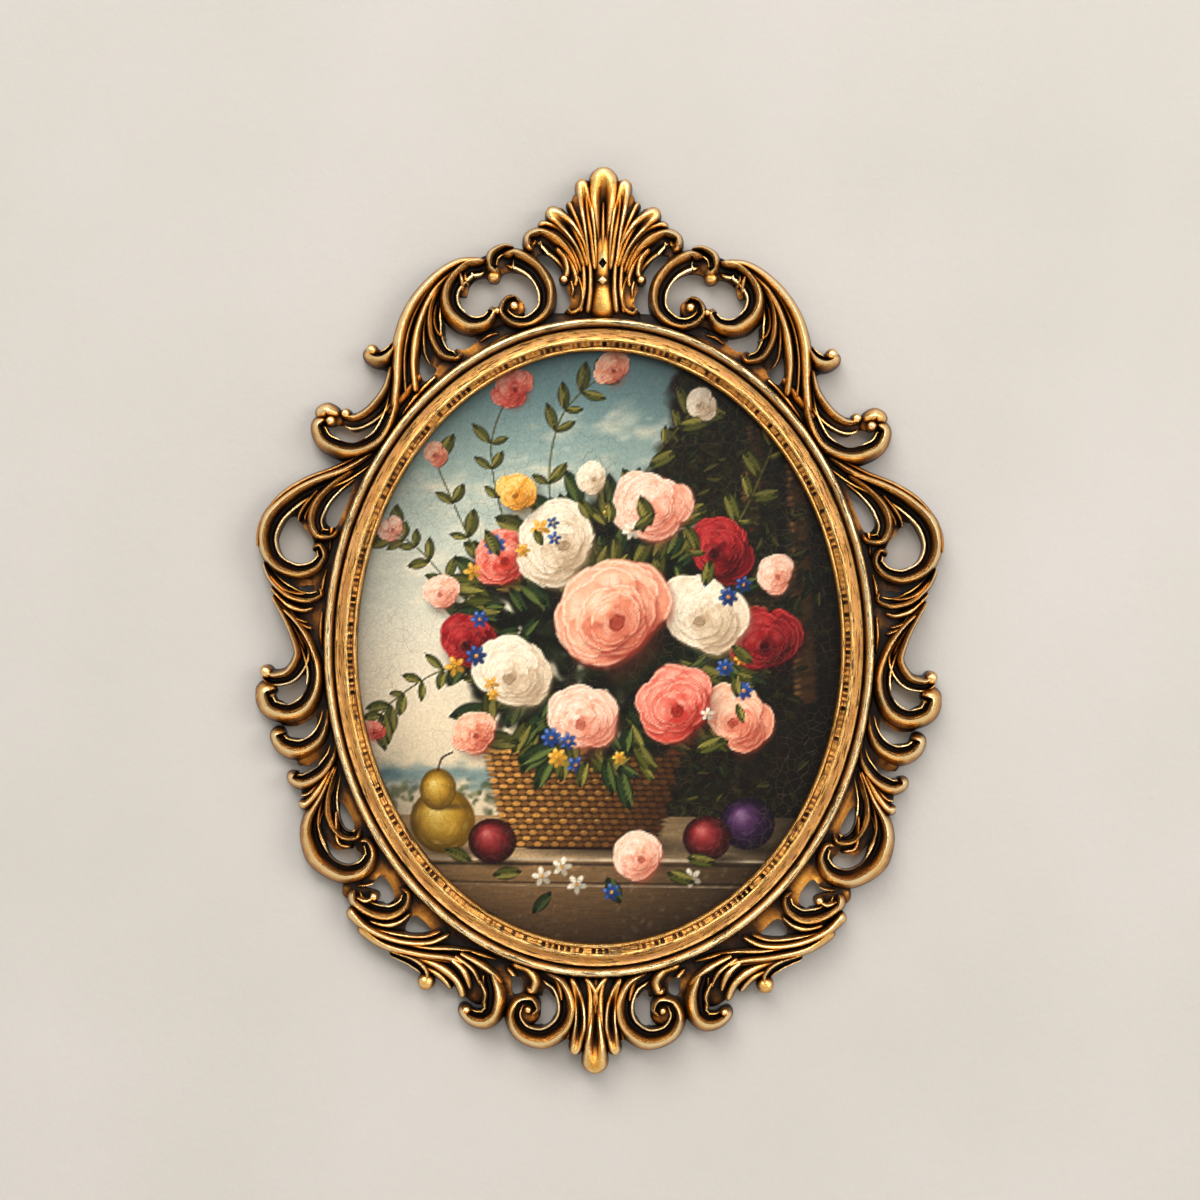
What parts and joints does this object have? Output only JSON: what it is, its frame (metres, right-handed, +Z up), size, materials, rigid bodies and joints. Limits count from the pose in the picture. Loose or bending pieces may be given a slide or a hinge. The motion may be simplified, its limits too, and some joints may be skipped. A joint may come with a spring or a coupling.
{
  "type": "framed oval picture",
  "caption": "Oval flower painting in a pierced baroque scrollwork frame of antique gold, with a flat backing board, made to hang on a wall.",
  "frame": {"origin": "centre of the oval in the wall plane, on the rear face of the backing board", "axes": "+Z up the picture, +Y into the wall, -Y out of the picture's front, +X to the right as seen from the front"},
  "size_m": [0.2753, 0.0151, 0.3627],
  "materials": {
    "frame": "cast resin with a worn antique gold finish",
    "picture_panel": "oil painting on board, cracked and varnished",
    "backing_board": "bare brown hardboard"
  },
  "bodies": {
    "root": {"frame": "frame", "picture_panel": "picture_panel", "backing_board": "backing_board"}
  },
  "joints": []
}
